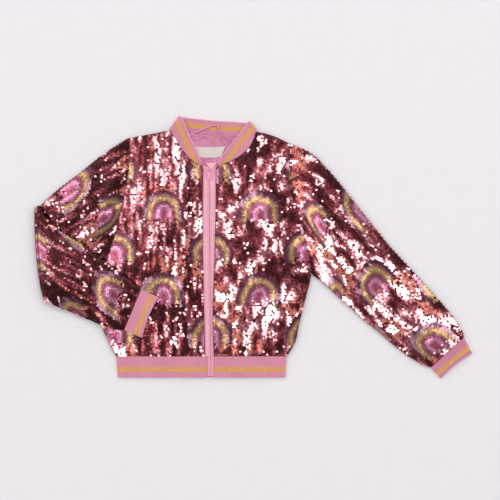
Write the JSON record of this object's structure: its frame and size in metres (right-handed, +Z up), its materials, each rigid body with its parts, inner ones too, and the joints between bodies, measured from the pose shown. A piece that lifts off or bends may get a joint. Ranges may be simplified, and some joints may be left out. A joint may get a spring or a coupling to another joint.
{
  "type": "sequinned zip-up bomber jacket, child's",
  "caption": "Child's zip-up bomber jacket in sequinned cloth with ribbed collar, cuffs and hem band, laid flat with one sleeve folded.",
  "frame": {"origin": "on the flat underside of the back, below the middle of the zip", "axes": "+X towards the wearer's left sleeve, +Y towards the neck, +Z up from the surface it lies on"},
  "size_m": [0.7201, 0.4329, 0.019],
  "materials": {
    "sequin_cloth": null,
    "rib_knit": "matt pink rib knit with a double metallic gold stripe",
    "lining": "smooth satin-like mauve pink lining",
    "label": "bare cream woven satin",
    "zip_tape": "pink woven tape and matching coil",
    "zip_enamel": "pink enamel on cast metal"
  },
  "bodies": {
    "garment": {"back": "sequin_cloth", "front_left": "sequin_cloth", "front_right": "sequin_cloth", "sleeve_left": "sequin_cloth", "sleeve_right": "sequin_cloth", "cuff_left": "rib_knit", "cuff_right": "rib_knit", "collar": "rib_knit", "hem_band": "rib_knit", "lining_back": "lining", "neck_label": "label", "hang_loop": "lining", "zip_tape_left": "zip_tape", "zip_tape_right": "zip_tape", "zip_garage": "zip_tape", "zip_slider": "zip_enamel"},
    "zip_pull": {"zip_pull": "zip_enamel"}
  },
  "joints": [
    {"name": "pull_swing", "type": "hinge", "parent": "garment", "child": "zip_pull", "pos_m": [-0.0032, 0.1648, 0.0085], "axis": [-1, 0, 0], "range_deg": [0, 145]}
  ]
}
